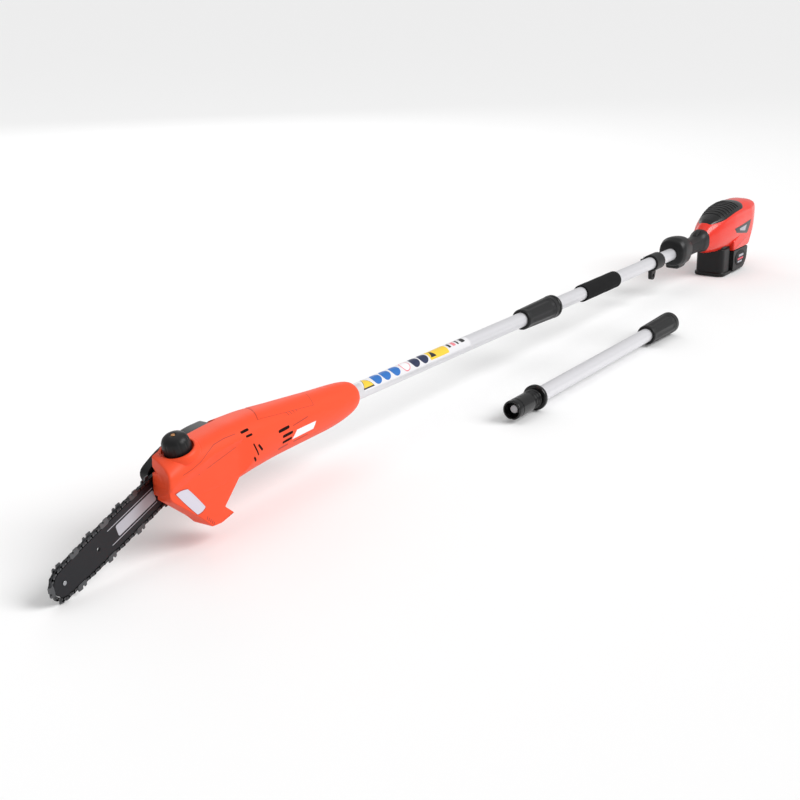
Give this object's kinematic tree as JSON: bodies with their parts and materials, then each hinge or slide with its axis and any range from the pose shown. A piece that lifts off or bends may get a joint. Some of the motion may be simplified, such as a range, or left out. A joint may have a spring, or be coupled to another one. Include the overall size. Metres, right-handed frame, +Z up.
{
  "type": "pole saw",
  "caption": "Battery pole saw: small guide bar and chain on an orange motor head, a two-section pole with a twist collar, a rear handle with a battery, and a loose pole extension.",
  "frame": {"origin": "middle of the battery foot's flat bottom", "axes": "+X along the pole from the bar to the battery, +Z up, -Y the saw's left side, where the extension lies"},
  "size_m": [2.2688, 0.1845, 0.1808],
  "materials": {
    "orange_shell": "satin moulded",
    "crimson_shell": "glossy moulded",
    "black_plastic": "satin moulded",
    "grey_plastic": "moulded",
    "black_rubber": "smooth",
    "foam": "closed-cell foam",
    "oil_lens": "translucent",
    "tank_plastic": "translucent",
    "silver_tube": "satin anodised",
    "dark_bar": "satin enamel",
    "chain_steel": "oiled",
    "steel": "plain",
    "brass": "plain",
    "casting": "die cast",
    "motor_iron": "wound laminations",
    "circuit_board": "coated board"
  },
  "bodies": {
    "handle": {"pole_plug": "black_plastic", "pole_plug_contacts": "grey_plastic", "rear_tube": "silver_tube", "rear_cable": "black_rubber", "foam_grip": "foam", "strap_clamp": "black_plastic", "clamp_screw": "steel", "grip_left": "black_plastic", "grip_right": "black_plastic", "switch_body": "grey_plastic", "housing_left": "crimson_shell", "housing_right": "crimson_shell", "vent_panel": "black_plastic", "controller_board": "circuit_board", "terminal_block": "grey_plastic", "battery_foot": "black_plastic"},
    "head": {"casing_left": "orange_shell", "casing_right": "orange_shell", "oil_window": "oil_lens", "sprocket_cover": "black_plastic", "bar_nut": "steel", "bar_stud": "steel", "gear_case": "casting", "shaft_bearing_right": "steel", "shaft_bearing_left": "steel", "motor_stator": "motor_iron", "motor_bearing_front": "steel", "motor_bearing_rear": "steel", "oil_tank": "tank_plastic", "oil_pump": "casting", "oil_line": "black_rubber", "front_tube": "silver_tube", "front_cable": "black_rubber", "pole_socket": "black_plastic", "pole_socket_contacts": "grey_plastic"},
    "collar": {"pole_collar": "black_plastic"},
    "rotor": {"motor_rotor": "steel", "bevel_pinion": "steel"},
    "drive": {"drive_sprocket": "steel", "sprocket_shaft": "steel", "bevel_gear": "steel"},
    "bar": {"guide_bar": "dark_bar", "nose_rivet": "steel", "tension_pin": "steel", "saw_chain": "chain_steel"},
    "nose": {"nose_sprocket": "steel"},
    "tension": {"tension_screw": "steel"},
    "cap": {"oil_cap": "black_plastic", "cap_screw": "brass"},
    "trigger_body": {"trigger": "black_plastic"},
    "lock": {"lock_lever": "black_plastic"},
    "battery": {"battery_pack": "black_plastic"},
    "latch": {"battery_latch": "black_plastic"},
    "extension": {"extension_plug": "black_plastic", "extension_plug_contacts": "grey_plastic", "extension_socket": "black_plastic", "extension_socket_contacts": "grey_plastic", "extension_tube": "silver_tube", "extension_cable": "black_rubber"},
    "extension_twist": {"extension_collar": "black_plastic"}
  },
  "joints": [
    {"name": "head_pull", "type": "slide", "parent": "handle", "child": "head", "axis": [-1, 0, 0], "range_m": [0, 0.095]},
    {"name": "collar_turn", "type": "hinge", "parent": "head", "child": "collar", "pos_m": [-0.91, 0, 0.089], "axis": [1, 0, 0], "range_deg": [0, 540]},
    {"name": "drive_spin", "type": "hinge", "parent": "head", "child": "drive", "pos_m": [-1.8473, 0.015, 0.0915], "axis": [0, 1, 0], "continuous": true},
    {"name": "rotor_spin", "type": "hinge", "parent": "head", "child": "rotor", "pos_m": [-1.75, -0.006, 0.0915], "axis": [1, 0, 0], "continuous": true},
    {"name": "bar_slide", "type": "slide", "parent": "head", "child": "bar", "axis": [0.9397, 0, 0.342], "range_m": [0, 0.006]},
    {"name": "nose_spin", "type": "hinge", "parent": "bar", "child": "nose", "pos_m": [-2.08786, 0.015, 0.00394], "axis": [0, 1, 0], "continuous": true},
    {"name": "tension_screw_turn", "type": "hinge", "parent": "head", "child": "tension", "pos_m": [-1.91103, 0.03, 0.08533], "axis": [0, 1, 0], "range_deg": [0, 2760]},
    {"name": "cap_turn", "type": "hinge", "parent": "head", "child": "cap", "pos_m": [-1.9063, -0.011, 0.122], "axis": [-0.342, 0, 0.9397], "range_deg": [0, 330]},
    {"name": "trigger_pull", "type": "hinge", "parent": "handle", "child": "trigger_body", "pos_m": [-0.2, 0, 0.077], "axis": [0, -1, 0], "range_deg": [0, 12], "stiffness_Nm_per_rad": 0.2, "springref_deg": -17.19},
    {"name": "lock_press", "type": "hinge", "parent": "handle", "child": "lock", "pos_m": [-0.15, 0, 0.105], "axis": [0, 1, 0], "range_deg": [0, 8], "stiffness_Nm_per_rad": 0.2, "springref_deg": -17.19},
    {"name": "battery_slide", "type": "slide", "parent": "handle", "child": "battery", "axis": [1, 0, 0], "range_m": [0, 0.13]},
    {"name": "latch_press", "type": "slide", "parent": "battery", "child": "latch", "axis": [-1, 0, 0], "range_m": [0, 0.003], "stiffness_N_per_m": 400, "springref_m": -0.004},
    {"name": "extension_lift", "type": "slide", "parent": "handle", "child": "extension", "axis": [0, 0, 1], "range_m": [0, 0.3]},
    {"name": "extension_collar_turn", "type": "hinge", "parent": "extension", "child": "extension_twist", "pos_m": [-1.2273, -0.12, 0.00844], "axis": [0.9999, 0, 0.0105], "range_deg": [0, 540]}
  ],
  "couplings": [
    {"joint": "rotor_spin", "follows": "drive_spin", "ratio": 2.7143},
    {"joint": "tension_screw_turn", "follows": "bar_slide", "rad_per_m": 7854},
    {"joint": "nose_spin", "follows": "drive_spin", "ratio": 0.77778}
  ]
}
